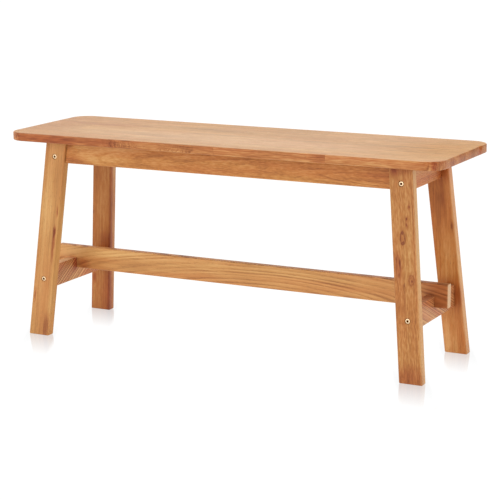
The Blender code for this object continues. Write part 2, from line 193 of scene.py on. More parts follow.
def turned(profile, steps):
    """A solid of revolution round Z from (height, radius) points."""
    outline = [(profile[0][0], 0), *profile, (profile[-1][0], 0)]
    shape = bmesh.new()
    points = [shape.verts.new((radius, 0, height)) for height, radius in outline]
    edges = [shape.edges.new(pair) for pair in zip(points, points[1:])]
    round_z = {"cent": (0, 0, 0), "axis": (0, 0, 1), "angle": math.tau}
    bmesh.ops.spin(shape, geom=points + edges, steps=steps, use_merge=True, **round_z)
    bmesh.ops.remove_doubles(shape, verts=shape.verts, dist=weld_distance)
    return shape


def block(low, high):
    shape = bmesh.new()
    bmesh.ops.create_cube(shape, size=1)
    low, high = Vector(low), Vector(high)
    shape.transform(Matrix.Translation((low + high) / 2) @ Matrix.Diagonal(high - low).to_4x4())
    return shape


def mesh_from(shape, name):
    shape.normal_update()
    bmesh.ops.recalc_face_normals(shape, faces=shape.faces)
    mesh = bpy.data.meshes.new(name)
    shape.to_mesh(mesh)
    shape.free()
    return mesh


def new_object(name, data, place=None):
    thing = bpy.data.objects.new(name, data)
    bpy.context.scene.collection.objects.link(thing)
    thing.matrix_world = place or Matrix()
    return thing


def finished(blank, cuts, arris=0.0):
    """Eases the arrises, makes the cuts, fixes the result as a plain mesh and gives it clean shading."""
    if arris:
        bevel = blank.modifiers.new("eased arrises", "BEVEL")
        bevel.width = arris
        bevel.segments = arris_steps
        bevel.limit_method = "ANGLE"
        bevel.angle_limit = arris_angle
    helpers = []
    for shape, place in cuts:
        shape.transform(place)
        helpers.append(new_object("cutter", mesh_from(shape, "cutter")))
        cut = blank.modifiers.new("cut", "BOOLEAN")
        cut.operation = "DIFFERENCE"
        cut.solver = "EXACT"
        cut.object = helpers[-1]
    bpy.context.view_layer.update()
    mesh = bpy.data.meshes.new_from_object(blank.evaluated_get(bpy.context.evaluated_depsgraph_get()))
    mesh.transform(blank.matrix_world)
    blank.modifiers.clear()
    blank.data = mesh
    blank.matrix_world = Matrix()
    for helper in helpers:
        bpy.data.objects.remove(helper)
    mesh.shade_smooth()
    mesh.set_sharp_from_angle(angle=smooth_angle)
    shading = blank.modifiers.new("flat faces, round arrises", "WEIGHTED_NORMAL")
    shading.keep_sharp = True
    return blank


def board(name, pairs, along, cuts):
    """A straight board between three pairs of opposite planes.

    Its own +X runs along the grain and its own +Y across its face.
    """
    ends = list(itertools.product((0, 1), repeat=3))
    corners = {end: meeting_point([pair[side] for pair, side in zip(pairs, end)]) for end in ends}
    middle = sum(corners.values(), Vector()) / len(corners)
    along = Vector(along).normalized()
    through = pairs[1][1][0]
    through = (through - along * through.dot(along)).normalized()
    across = through.cross(along)
    place = Matrix((along, across, through)).transposed().to_4x4()
    place.translation = middle
    shape = bmesh.new()
    points = {end: shape.verts.new(place.inverted() @ corner) for end, corner in corners.items()}
    for axis, side in itertools.product(range(3), (0, 1)):
        ring = [list(turn) for turn in ((0, 0), (0, 1), (1, 1), (1, 0))]
        for turn in ring:
            turn.insert(axis, side)
        shape.faces.new([points[tuple(turn)] for turn in ring])
    return finished(new_object(name, mesh_from(shape, name), place), cuts, board_arris), place


def nut_bores(x, height, bottom):
    """The upright holes of the two barrel nuts of a bolted board, from its bottom edge."""
    made = []
    for face in faces.values():
        top = height - bottom + nut_length / 2 + fit_gap
        hole = turned([(-overrun, nut_radius + fit_gap), (top, nut_radius + fit_gap)], bore_sides)
        made.append((hole, pointing((x, face * (bolted_end_y(height) - nut_inset), bottom), (0, 0, 1))))
    return made


def screw_bore(x, y, bottom, counterbore, length):
    """A screw's counterbore and clearance hole, up from a board's bottom edge."""
    wide = screw_head_radius + screw_counterbore_margin
    hole = screw_radius + fit_gap
    shape = turned([(-overrun, wide), (counterbore, wide), (counterbore, hole), (length, hole)], bore_sides)
    return shape, pointing((x, y, bottom), (0, 0, 1))


def leg(side_name, face_name):
    side, face = sides[side_name], faces[face_name]
    wide, edge = wide_face(face), outer_edge(side, face)
    floor = bolt_head_recess + bolt_head_height + fit_gap
    bore, hole = bolt_head_radius + counterbore_margin, bolt_radius + fit_gap
    through = leg_thickness / math.cos(front_splay) + overrun
    cuts = []
    for height in bolt_heights.values():
        shape = turned([(-overrun, bore), (floor, bore), (floor, hole), (through, hole)], bore_sides)
        mouth = (side * leg_centre_x(height), face * leg_face_y(height), height)
        cuts.append((shape, pointing(mouth, (0, -face, 0))))
    pairs = [
        (moved(edge, -leg_width), edge),
        (moved(wide, -leg_thickness), wide),
        (level(0), level(seat_underside - fit_gap)),
    ]
    upward = edge[0].cross(wide[0]) * side * face
    return board(f"oak_{face_name}_{side_name}_leg", pairs, upward, cuts)


def long_apron(face_name):
    face = faces[face_name]
    wide = wide_face(face)
    ends = [moved(outer_edge(side, face), -leg_width - fit_gap) for side in sides.values()]
    reach = 2 * (leg_edge_x(long_apron_middle) - leg_width / math.cos(end_splay))
    y = face * long_apron_y(long_apron_middle)
    counterbore, length = long_apron_height - seat_screw_through, long_apron_height + overrun
    cuts = [
        screw_bore(share * reach, y, long_apron_bottom, counterbore, length)
        for share in long_apron_screw_shares
    ]
    pairs = [
        ends,
        (moved(wide, -long_apron_set_back - long_apron_thickness), moved(wide, -long_apron_set_back)),
        (level(long_apron_bottom), level(seat_underside - fit_gap)),
    ]
    return board(f"oak_{face_name}_long_apron", pairs, (1, 0, 0), cuts)


def bolted_pairs(x, thickness, bottom, top):
    ends = [moved(wide_face(face), -leg_thickness - fit_gap) for face in faces.values()]
    return [ends, (across_x(x - thickness / 2), across_x(x + thickness / 2)), (level(bottom), level(top))]


def end_apron(side_name):
    height = bolt_heights["end_apron"]
    x = sides[side_name] * leg_centre_x(height)
    counterbore, length = end_apron_height - seat_screw_through, end_apron_height + overrun
    bore = screw_bore(x, 0, end_apron_bottom, counterbore, length)
    pairs = bolted_pairs(x, end_apron_thickness, end_apron_bottom, seat_underside - fit_gap)
    cuts = [*nut_bores(x, height, end_apron_bottom), bore]
    return board(f"oak_{side_name}_end_apron", pairs, (0, 1, 0), cuts)


def cross_rail(side_name):
    height = bolt_heights["cross_rail"]
    x = sides[side_name] * leg_centre_x(height)
    half_length, half_width = rail_thickness / 2 + overrun, stretcher_thickness / 2 + fit_gap
    low = (x - half_length, -half_width, rail_top - lap_depth - fit_gap)
    notch = (block(low, (x + half_length, half_width, rail_top + overrun)), Matrix())
    bore = screw_bore(x, 0, rail_floor_clearance, lap_screw_counterbore, rail_height - lap_depth)
    pairs = bolted_pairs(x, rail_thickness, rail_floor_clearance, rail_top)
    cuts = [notch, *nut_bores(x, height, rail_floor_clearance), bore]
    return board(f"oak_{side_name}_cross_rail", pairs, (0, 1, 0), cuts)


def stretcher():
    rail_x = leg_centre_x(bolt_heights["cross_rail"])
    half = rail_x + rail_thickness / 2 + stretcher_overhang
    half_width, half_depth = rail_thickness / 2 + fit_gap, stretcher_thickness / 2 + overrun
    cuts = []
    for side in sides.values():
        low = (side * rail_x - half_width, -half_depth, stretcher_bottom - overrun)
        high = (side * rail_x + half_width, half_depth, stretcher_bottom + lap_depth)
        cuts.append((block(low, high), Matrix()))
    pairs = [
        (across_x(-half), across_x(half)),
        [plane((0, -1, 0), (0, -face * stretcher_thickness / 2, 0)) for face in faces.values()],
        (level(stretcher_bottom), level(stretcher_top)),
    ]
    return board("oak_stretcher", pairs, (1, 0, 0), cuts)


def seat():
    """The seat panel, its plan a rectangle with quarter-circle corners."""
    shape = bmesh.new()
    middle_x, middle_y = seat_length / 2 - seat_corner_radius, seat_width / 2 - seat_corner_radius
    outline = []
    for corner, (side, face) in enumerate(((1, 1), (-1, 1), (-1, -1), (1, -1))):
        for step in range(corner_steps + 1):
            angle = (corner + step / corner_steps) * math.pi / 2
            x = side * middle_x + seat_corner_radius * math.cos(angle)
            y = face * middle_y + seat_corner_radius * math.sin(angle)
            outline.append(shape.verts.new((x, y, -seat_thickness / 2)))
    raised = bmesh.ops.extrude_face_region(shape, geom=[shape.faces.new(outline)])
    top = [item for item in raised["geom"] if isinstance(item, bmesh.types.BMVert)]
    bmesh.ops.translate(shape, verts=top, vec=(0, 0, seat_thickness))
    place = Matrix.Translation((0, 0, seat_underside + seat_thickness / 2))
    return finished(new_object("oak_seat_panel", mesh_from(shape, "seat"), place), [], seat_arris), place


def bolt_mesh():
    """A socket head bolt from the top of its head, with a rounded rim and a coned hexagon socket."""
    through_leg = leg_thickness / math.cos(front_splay) - bolt_head_recess
    length = through_leg + fit_gap + nut_inset + nut_radius + bolt_tip_room
    profile = []
    for step in range(rim_steps + 1):
        angle = step / rim_steps * math.pi / 2
        rim = bolt_head_radius - bolt_head_round * (1 - math.sin(angle))
        profile.append((bolt_head_round * (1 - math.cos(angle)), rim))
    profile += [(bolt_head_height, bolt_head_radius), (bolt_head_height, bolt_radius), (length, bolt_radius)]
    blank = new_object("blank", mesh_from(turned(profile, bolt_sides), "bolt"))
    corner = socket_across_flats / 2 / math.cos(math.pi / socket_sides)
    tip = (socket_depth + socket_cone_depth, corner * socket_cone_share)
    socket = turned([(-overrun, corner), (socket_depth, corner), tip], socket_sides)
    mesh = finished(blank, [(socket, Matrix())]).data
    bpy.data.objects.remove(blank)
    return mesh


# How the oak is drawn

# Sizes are mm along the grain, across the board and through it. A real pore is about 0.3 mm wide and a fibre
# is finer, too fine to show in the render, so both are drawn as coarse as they need to show.
pore_size = (8, 0.6, 0.6)
streak_size = (190, 6, 8)
drift_size = (130, 30, 30)
figure_cloud_size = (150, 18, 18)
rosy_cloud_size = (230, 24, 28)
mark_outline_size = (14, 6, 6)
mark_outline_reach = (12, 5, 5)
piece_log_spread = (1600, 90, 40)
piece_cloud_spread = (5200, 900, 700)
arris_margin = 3.0
grain_depth = 0.3

# Where a share starts and ends its change from none to all, or from all to none
core_fade = (0.3, 1.1)
halo_fade = (0.4, 2.2)
rim_fade = (0.05, 0.35)
glue_fade = (0.0006, 0.0016)
figure_cloud_fade = (0.38, 0.62)
rosy_cloud_fade = (0.4, 0.64)
pore_fade = (0.56, 0.72)
upward_fade = (0.8, 0.99)
end_grain_fade = (0.5, 0.95)

# How dark the wood is through a year, from porous early wood to late wood, and how years vary in width
year_profile = [(0.0, 0.85), (0.14, 1.0), (0.42, 0.4), (0.75, 0.1), (0.92, 0.0), (1.0, 0.85)]
year_mean = 0.38
year_change_scale = 0.45
year_change = 2.2
run_of_years_scale = 0.23

# Strengths. Oil and wood have an IOR near 1.5. The lower one gives the faint sheen of oil that is rubbed in.
clearest_figure = 1.3
noise_middle = 0.5
pores_in_early_wood = 0.75
pores_everywhere = 0.25
pore_darkness = 0.5
glue_darkness = 0.3
least_roughness = 0.32
fibre_roughness = 0.16
pore_roughness = 0.2
fibre_relief = 0.35
grain_relief = 0.35
plain_shine = 0.5
oiled_wood_ior = 1.33

pale_oak = "#f6d08c"
dark_oak = "#5c1f05"
pore_brown = "#6b3c1c"
knot_brown = "#6e2b10"
glue_brown = "#5a3018"
# The red colours real stains and also reddens painted shade.
red_stain_and_shade = "#d97f5c"
rubbed_oak = "#e9bb82"

# How the plating is drawn

# Lengths are mm. The grain of plating is too fine to show in the render, so its mottle is drawn coarser.
mottle_fade = (0.3, 0.7)
mottle_dullest = 0.86
mottle_roughness = 0.18
mottle_relief = 0.15
mottle_depth = 0.05
socket_wall_fade = (2.95, 3.3)
socket_mouth_fade = (0.05, 0.5)


# Finishes

def linear(code):
    """An sRGB hex colour as linear RGBA."""
    parts = [int(code[place:place + 2], 16) / 255 for place in (1, 3, 5)]
    return (*[part / 12.92 if part <= 0.04045 else ((part + 0.055) / 1.055) ** 2.4 for part in parts], 1.0)


def live_output(node):
    """The first output of a node that its settings leave in use."""
    return next(output for output in node.outputs if output.enabled)


def add(tree, kind, feeds=(), stops=(), **settings):
    """Adds a shader node with its settings, feeds its sockets by order or by name, and sets its colour stops.

    A node given as a feed stands for its first live output, and a hex code for its colour.
    """
    made = tree.nodes.new("ShaderNode" + kind)
    for setting, value in settings.items():
        setattr(made, setting, value)
    sockets = [socket for socket in made.inputs if socket.enabled]
    for key, value in feeds.items() if isinstance(feeds, dict) else enumerate(feeds):
        socket = sockets[key] if isinstance(key, int) else next(each for each in sockets if each.name == key)
        if isinstance(value, bpy.types.Node):
            value = live_output(value)
        if isinstance(value, bpy.types.NodeSocket):
            tree.links.new(value, socket)
        else:
            socket.default_value = linear(value) if isinstance(value, str) else value
    for index, (position, value) in enumerate(stops):
        elements = made.color_ramp.elements
        element = elements[index] if index < len(elements) else elements.new(position)
        element.position = position
        element.color = value if isinstance(value, tuple) else (value, value, value, 1.0)
    return made


def new_finish(name):
    material = bpy.data.materials.new(name)
    material.use_nodes = True
    tree = material.node_tree
    return material, tree, tree.nodes["Principled BSDF"]


def wood_noise(tree, place, size, detail=2.0, roughness=0.5):
    """Cloudy noise drawn out to a size in mm along the grain, across the board and through it."""
    scaled = add(tree, "VectorMath", (place, size), operation="DIVIDE")
    return add(tree, "TexNoise", {"Vector": scaled, "Scale": 1.0, "Detail": detail, "Roughness": roughness})


def wander(tree, place, size, reach):
    """A shift in mm that drifts about zero, drawn out as wood noise is."""
    noise = wood_noise(tree, place, size, detail=3.0, roughness=0.45).outputs["Color"]
    centred = add(tree, "VectorMath", (noise, [noise_middle] * 3), operation="SUBTRACT")
    return add(tree, "VectorMath", (centred, reach), operation="MULTIPLY")


def log_distance(tree, place, look):
    """Distance in mm from the heart of a log that bends and leans.

    A log with a small stretch draws in along the grain too, so that its rings close into crowns.
    """
    sway = wander(tree, place, look["sway_size"], (0, look["sway"], look["sway"]))
    bent = add(tree, "VectorMath", (place, sway), operation="ADD")
    along = add(tree, "SeparateXYZ", (bent,))
    lean = add(tree, "VectorMath", ((0.0, *look["lean"]), along), operation="SCALE")
    upright = add(tree, "VectorMath", (bent, lean), operation="SUBTRACT")
    heart = add(tree, "VectorMath", (upright, look["heart"]), operation="SUBTRACT")
    drawn_in = add(tree, "VectorMath", (heart, (1 / look["stretch"], 1.0, 1.0)), operation="MULTIPLY")
    return add(tree, "VectorMath", (drawn_in,), operation="LENGTH")


def mark_nearness(tree, place, at, size):
    """Three shares of a knot, a stain or a patch of painted shade or light, with a ragged outline.

    They are its core, its wide halo and the thin rim round the core.
    """
    outline = wander(tree, place, mark_outline_size, mark_outline_reach)
    ragged = add(tree, "VectorMath", (place, outline), operation="ADD")
    off = add(tree, "VectorMath", (ragged, at), operation="SUBTRACT")
    scaled = add(tree, "VectorMath", (off, size), operation="DIVIDE")
    far = add(tree, "VectorMath", (scaled,), operation="LENGTH")
    core = add(tree, "MapRange", (far, *core_fade, 1.0, 0.0), interpolation_type="SMOOTHSTEP")
    halo = add(tree, "MapRange", (far, *halo_fade, 1.0, 0.0), interpolation_type="SMOOTHSTEP")
    off_rim = add(tree, "Math", (add(tree, "Math", (far, 1.0), operation="SUBTRACT"),), operation="ABSOLUTE")
    rim = add(tree, "MapRange", (off_rim, *rim_fade, 1.0, 0.0), interpolation_type="SMOOTHSTEP")
    return core, halo, rim


def arris_nearness(tree, place, size):
    """1 on the eased arrises of a board, 0 a few millimetres in from them."""
    outside = add(tree, "VectorMath", (place,), operation="ABSOLUTE")
    inner = [extent / 2 - arris_margin for extent in size]
    past = add(tree, "VectorMath", (outside, inner), operation="SUBTRACT")
    shares = add(tree, "VectorMath", (past, 1 / arris_margin), operation="SCALE")
    near = [add(tree, "Clamp", (part,)) for part in add(tree, "SeparateXYZ", (shares,)).outputs]
    pairs = [add(tree, "Math", pair, operation="MULTIPLY") for pair in itertools.combinations(near, 2)]
    nearer = add(tree, "Math", pairs[:2], operation="MAXIMUM")
    return add(tree, "Math", (nearer, pairs[2]), operation="MAXIMUM")


def stave_places(tree, place):
    """Gives each glued piece of the seat a log and a tone of its own, and finds the glue lines."""
    parts = add(tree, "SeparateXYZ", (place,)).outputs
    width = seat_width * mm_per_metre
    across = add(tree, "MapRange", (parts["Y"], -width / 2, width / 2))
    starts = [0.0, *[(stave["far_edge"] + width / 2) / width for stave in seat_staves[:-1]]]

    def per_stave(values):
        ramp = add(tree, "ValToRGB", (across,), list(zip(starts, values)))
        ramp.color_ramp.interpolation = "CONSTANT"
        return ramp

    number = per_stave([(index + 0.5) / len(seat_staves) for index in range(len(seat_staves))])
    shift = per_stave([stave["joint_shift"] for stave in seat_staves])
    own_tone = per_stave([stave["tone"] for stave in seat_staves])
    lengths = add(tree, "Math", (parts["X"], stave_length), operation="DIVIDE")
    pieces = add(tree, "Math", (lengths, shift), operation="ADD")
    piece = add(tree, "Math", (pieces,), operation="FLOOR")
    key = add(tree, "CombineXYZ", (number, piece, piece_choice))
    chance = add(tree, "TexWhiteNoise", (key,))
    spread = add(tree, "VectorMath", (chance.outputs["Color"], [noise_middle] * 3), operation="SUBTRACT")
    own_log = add(tree, "VectorMath", (spread, piece_log_spread), operation="MULTIPLY")
    own_cloud = add(tree, "VectorMath", (spread, piece_cloud_spread), operation="MULTIPLY")
    log_place = add(tree, "VectorMath", (place, own_log), operation="ADD")
    cloud_place = add(tree, "VectorMath", (place, own_cloud), operation="ADD")
    swing = add(tree, "MapRange", (chance, 0.0, 1.0, -piece_tone_swing, piece_tone_swing))
    tone = add(tree, "Math", (swing, own_tone), operation="ADD")
    offsets = [add(tree, "Math", (across, start), operation="SUBTRACT") for start in starts[1:]]
    gaps = [add(tree, "Math", (offset,), operation="ABSOLUTE") for offset in offsets]
    gaps.append(add(tree, "Math", (pieces, 0.5), operation="PINGPONG"))
    lines = [add(tree, "MapRange", (gap, *glue_fade, 1.0, 0.0)) for gap in gaps]
    seam = lines[0]
    for line in lines[1:]:
        seam = add(tree, "Math", (seam, line), operation="MAXIMUM")
    return log_place, cloud_place, tone, seam


def year_rings(tree, distance, look):
    """Dark porous early wood that fades into pale late wood, year after year, in narrow and wide years."""
    years = add(tree, "Math", (distance, look["ring"]), operation="DIVIDE")
    change = {"W": years, "Scale": year_change_scale, "Detail": 2.0}
    uneven = add(tree, "TexNoise", change, noise_dimensions="1D")
    years = add(tree, "Math", (uneven, year_change, years), operation="MULTIPLY_ADD")
    year = add(tree, "Math", (years,), operation="FRACT")
    early = add(tree, "ValToRGB", (year,), year_profile)
    run = {"W": years, "Scale": run_of_years_scale, "Detail": 1.0}
    return early, add(tree, "TexNoise", run, noise_dimensions="1D")


def oak_places(tree, board_place, look):
    """The board's place in its log and in the clouds of its tone, with its own tone and its glue lines."""
    if look["staves"]:
        log_place, cloud_place, own_tone, seam = stave_places(tree, board_place)
        return log_place, cloud_place, add(tree, "Math", (own_tone, look["tone"]), operation="ADD"), seam
    slant = {"Vector": board_place, "Angle": look["slant"]}
    log_place = add(tree, "VectorRotate", slant, rotation_type="Z_AXIS")
    cloud_place = add(tree, "VectorMath", (log_place, look["seed"]), operation="ADD")
    return log_place, cloud_place, look["tone"], None


def fibres_and_pores(tree, cloud_place, early, look):
    """Fine fibres, and short dark pores that are thickest in the early wood."""
    fibres = wood_noise(tree, cloud_place, look["fibre_size"])
    pores = wood_noise(tree, cloud_place, pore_size, detail=1.0)
    open_pores = add(tree, "MapRange", (pores, *pore_fade), interpolation_type="SMOOTHSTEP")
    pore_rows = add(tree, "Math", (early, pores_in_early_wood, pores_everywhere), operation="MULTIPLY_ADD")
    return fibres, add(tree, "Math", (open_pores, pore_rows), operation="MULTIPLY")


def oak_tone(tree, tone, cloud_place, early, run_of_years, fibres, look):
    """The tone of the wood, moved by its rings, bands of years, streaks, fibres and drift.

    The rings are clear in some places and faint in others.
    """
    figure_clouds = wood_noise(tree, cloud_place, figure_cloud_size)
    clearness = add(tree, "MapRange", (figure_clouds, *figure_cloud_fade, look["plainest"], clearest_figure))
    centred_rings = add(tree, "Math", (early, year_mean), operation="SUBTRACT")
    parts = {
        "rings": (add(tree, "Math", (centred_rings, clearness), operation="MULTIPLY"), 0.0),
        "bands": (run_of_years, noise_middle),
        "streaks": (wood_noise(tree, cloud_place, streak_size, detail=4.0, roughness=0.55), noise_middle),
        "fibres": (fibres, noise_middle),
        "drift": (wood_noise(tree, cloud_place, drift_size, detail=3.0), noise_middle),
    }
    for share, (source, middle) in parts.items():
        centred = add(tree, "Math", (source, middle), operation="SUBTRACT")
        tone = add(tree, "Math", (centred, look[share], tone), operation="MULTIPLY_ADD")
    return tone


def oil_sheen(tree, surface, fibres, dark_pores, shine):
    """A satin sheen over fine relief, both broken up by fibres and pores."""
    rough = add(tree, "Math", (fibres, fibre_roughness, least_roughness), operation="MULTIPLY_ADD")
    rough = add(tree, "Math", (dark_pores, pore_roughness, rough), operation="MULTIPLY_ADD")
    tree.links.new(live_output(rough), surface.inputs["Roughness"])
    surface.inputs["IOR"].default_value = oiled_wood_ior
    if shine != plain_shine:
        tree.links.new(live_output(shine), surface.inputs["Specular IOR Level"])
    raised = add(tree, "Math", (fibres, fibre_relief), operation="MULTIPLY")
    relief = add(tree, "Math", (raised, dark_pores), operation="SUBTRACT")
    depth = grain_depth / mm_per_metre
    bump = add(tree, "Bump", {"Height": relief, "Strength": grain_relief, "Distance": depth})
    tree.links.new(live_output(bump), surface.inputs["Normal"])


def oiled_oak(name, look, size, own_frame):
    """Oak, planed, sanded and oiled to honey brown.

    Yearly rings give the figure, streaks and short dark pores the grain, and rosier patches keep a board from
    one colour. The oil gives a satin sheen that the pores break up.
    """
    material, tree, surface = new_finish(name)
    to_board = {
        "Vector": add(tree, "TexCoord").outputs["Object"],
        "Location": own_frame.to_translation(),
        "Rotation": own_frame.to_euler(),
        "Scale": [1 / mm_per_metre] * 3,
    }
    board_place = add(tree, "Mapping", to_board, vector_type="TEXTURE")
    log_place, cloud_place, tone, seam = oak_places(tree, board_place, look)
    distance = log_distance(tree, log_place, look)
    shine = plain_shine
    mark_layers = []
    for spot in look["marks"]:
        middle = own_frame.inverted() @ spot["at"] * mm_per_metre
        core, halo, rim = mark_nearness(tree, board_place, middle, spot["size"])
        if spot["swirl"]:
            distance = add(tree, "Math", (halo, spot["swirl"], distance), operation="MULTIPLY_ADD")
        if spot["tone"]:
            tone = add(tree, "Math", (halo, spot["tone"], tone), operation="MULTIPLY_ADD")
        if spot["shine"]:
            shine = add(tree, "Math", (halo, spot["shine"], shine), operation="MULTIPLY_ADD")
        # The red halo reddens stains, and also the marks that are painted shade.
        mark_layers.append((halo, spot["red"], red_stain_and_shade, "MULTIPLY"))
        mark_layers.append((core, spot["core"], knot_brown, "MIX"))
        mark_layers.append((rim, spot["rim"], knot_brown, "MIX"))

    early, run_of_years = year_rings(tree, distance, look)
    fibres, dark_pores = fibres_and_pores(tree, cloud_place, early, look)
    tone = oak_tone(tree, tone, cloud_place, early, run_of_years, fibres, look)
    colour = add(tree, "ValToRGB", (tone,), [(0.0, look["pale"]), (0.5, look["middle"]), (1.0, look["dark"])])

    rosy_clouds = wood_noise(tree, cloud_place, rosy_cloud_size)
    outward = add(tree, "TexCoord").outputs["Normal"]
    upward = add(tree, "VectorMath", (outward, (0.0, 0.0, 1.0)), operation="DOT_PRODUCT")
    along = add(tree, "VectorMath", (outward, own_frame.to_3x3().col[0]), operation="DOT_PRODUCT")
    endward = add(tree, "Math", (along,), operation="ABSOLUTE")
    layers = [
        (add(tree, "MapRange", (rosy_clouds, *rosy_cloud_fade)), look["rosiness"], look["rosy"], "MULTIPLY"),
        (dark_pores, pore_darkness, pore_brown, "MIX"),
        # Painted light: upward faces are made paler, as light and sheen on the tops would make them.
        (add(tree, "MapRange", (upward, *upward_fade)), look["faded"], look["faded_wood"], "MIX"),
        *mark_layers,
        (seam, glue_darkness, glue_brown, "MIX"),
        (add(tree, "MapRange", (endward, *end_grain_fade)), look["sawn_end"], look["end_wood"], "MIX"),
        (arris_nearness(tree, board_place, size), look["rubbed"], rubbed_oak, "MIX"),
    ]
    for share, strength, paint, blend in layers:
        if share and strength:
            laid = add(tree, "Math", (share, strength), operation="MULTIPLY")
            paints = {"Factor": laid, "A": colour, "B": paint}
            colour = add(tree, "Mix", paints, data_type="RGBA", blend_type=blend)
    tree.links.new(live_output(colour), surface.inputs["Base Color"])
    oil_sheen(tree, surface, fibres, dark_pores, shine)
    return material


def plated_steel(name, colour, roughness, grain, stain=None):
    """Steel, turned or pressed and then zinc plated.

    A fine mottle in the plating keeps the shine from being even. Deep inside a socket the plating is painted
    dark brown, partly a stain and partly painted shade of the hole, so the socket reads as a dark hole.
    """
    material, tree, surface = new_finish(name)
    metres = add(tree, "TexCoord").outputs["Object"]
    place = add(tree, "VectorMath", (metres, mm_per_metre), operation="SCALE")
    mottle = wood_noise(tree, place, [grain] * 3, detail=4.0, roughness=0.6)
    shade = add(tree, "MapRange", (mottle, *mottle_fade, mottle_dullest, 1.0))
    mottled = {"Factor": 1.0, "A": colour, "B": shade}
    tint = add(tree, "Mix", mottled, data_type="RGBA", blend_type="MULTIPLY")
    # Brown deep in the socket: partly a stain, partly painted shade of the hole.
    if stain:
        from_axis = add(tree, "VectorMath", (place, (1.0, 1.0, 0.0)), operation="MULTIPLY")
        off_axis = add(tree, "VectorMath", (from_axis,), operation="LENGTH")
        inside = add(tree, "MapRange", (off_axis, *socket_wall_fade, 1.0, 0.0))
        below_mouth = add(tree, "SeparateXYZ", (place,)).outputs["Z"]
        deep = add(tree, "MapRange", (below_mouth, *socket_mouth_fade))
        socket_stain_and_shade = add(tree, "Math", (inside, deep), operation="MULTIPLY")
        tint = add(tree, "Mix", {"Factor": socket_stain_and_shade, "A": tint, "B": stain}, data_type="RGBA")
    tree.links.new(live_output(tint), surface.inputs["Base Color"])
    surface.inputs["Metallic"].default_value = 1.0
    rough = add(tree, "Math", (mottle, mottle_roughness, roughness), operation="MULTIPLY_ADD")
    tree.links.new(live_output(rough), surface.inputs["Roughness"])
    depth = mottle_depth / mm_per_metre
    bump = add(tree, "Bump", {"Height": mottle, "Strength": mottle_relief, "Distance": depth})
    tree.links.new(live_output(bump), surface.inputs["Normal"])
    return material


# The look of each board

# Lengths are mm in the board's own frame: along the grain, across its face, through it. Slants are radians.
stave_length = 250.0
piece_tone_swing = 0.09
piece_choice = 2.0
seat_staves = [
    {"far_edge": -97.5, "joint_shift": 0.96, "tone": 0.0},
    {"far_edge": -35.0, "joint_shift": 0.2, "tone": 0.03},
    {"far_edge": 30.0, "joint_shift": 0.55, "tone": 0.0},
    {"far_edge": 80.0, "joint_shift": 0.1, "tone": 0.06},
    {"far_edge": 150.0, "joint_shift": 0.4, "tone": 0.08},
]
straight_grained = {
    # Where the board lies in its log: the log's heart, how it leans and sways, and the width of a year
    "heart": (0.0, 80.0, -30.0), "stretch": 1000.0, "lean": (0.01, 0.02), "ring": 4.2, "slant": 0.0,
    "sway": 5.0, "sway_size": (300, 70, 70), "seed": (0, 0, 0), "staves": False,
    # Its tone from pale at 0 to dark at 1, and how far each part of the figure moves that tone
    "tone": 0.5, "rings": 0.16, "bands": 0.25, "streaks": 0.5, "fibres": 0.35, "drift": 0.55,
    "plainest": 0.3, "fibre_size": (42, 1.9, 1.9),
    # Its colours, and the share of each that is laid over the wood
    "wood": "#b9783c", "rosy": "#f2b59c", "rosiness": 0.3, "end_wood": "#c8957a", "sawn_end": 0.0,
    # The top colour and its share paint light: upward faces are made paler, as light and sheen on them would
    # make them.
    "faded_wood": "#e9c795", "faded": 0.0, "rubbed": 0.12, "marks": [],
}
pale_share = 0.4
dark_share = 0.62

# Marks have their places in metres and their half sizes in mm
leg_middle = 0.22
leg_side_size = (260, 2.5, 9)
mark_lift = 0.001


def mixed(first, second, share):
    return tuple(a + (b - a) * share for a, b in zip(linear(first), linear(second)))


def look_of(**changes):
    """A board's look, straight grained but for the changes, its pale and dark tones mixed from its wood."""
    look = {**straight_grained, **changes}
    look["pale"] = mixed(look["wood"], pale_oak, pale_share)
    look["middle"] = linear(look["wood"])
    look["dark"] = mixed(look["wood"], dark_oak, dark_share)
    return look


def mark(at, size, core=0.0, rim=0.0, tone=0.0, swirl=0.0, red=0.0, shine=0.0):
    """A knot, a stain or a patch of the wood, or a patch of painted shade or painted light.

    Core and rim turn it brown, tone darkens it, swirl bends the rings by that many mm, red reddens it and
    shine makes it glossier.
    """
    effect = {"core": core, "rim": rim, "tone": tone, "swirl": swirl, "red": red, "shine": shine}
    return {"at": Vector(at), "size": size, **effect}


def leg_mark(side_name, face_name, height, aside, size, **effect):
    """A mark on the wide face of a leg that looks to the front, at a distance right of its centre line."""
    x = sides[side_name] * leg_centre_x(height) + aside
    y = -leg_face_y(height) if face_name == "front" else leg_face_y(height) - leg_thickness
    return mark((x, y, height), size, **effect)


def leg_side_light_mark(side_name, face_name, inward=0.01, size=leg_side_size, **effect):
    """A mark all along the edge of a leg that looks to the right: painted light that makes that side lighter.
    """
    x = leg_edge_x(leg_middle) if side_name == "right" else leg_width - leg_edge_x(leg_middle)
    y = faces[face_name] * (leg_face_y(leg_middle) - inward)
    return mark((x, y, leg_middle), size, **effect)


def marks_across(axis, offset):
    """Gives a function that makes marks in the plane across an axis. It takes their other two coordinates."""
    def mark_in_plane(first, second, size, **effect):
        at = [first, second]
        at.insert("xyz".index(axis), offset)
        return mark(at, size, **effect)
    return mark_in_plane


# Each makes marks on one face, from a plane in the face or close to it
on_front_left = functools.partial(leg_mark, "left", "front")
on_front_right = functools.partial(leg_mark, "right", "front")
on_back_left = functools.partial(leg_mark, "left", "back")
on_back_right = functools.partial(leg_mark, "right", "back")
on_seat_front = marks_across("y", -seat_width / 2 - mark_lift)
on_seat_end = marks_across("x", seat_length / 2 + mark_lift)
on_seat_top = marks_across("z", seat_height)
on_front_apron = marks_across("y", -0.104)
on_stretcher = marks_across("y", -stretcher_thickness / 2)
on_left_rail = marks_across("x", -0.42)
on_right_rail = marks_across("x", 0.44)
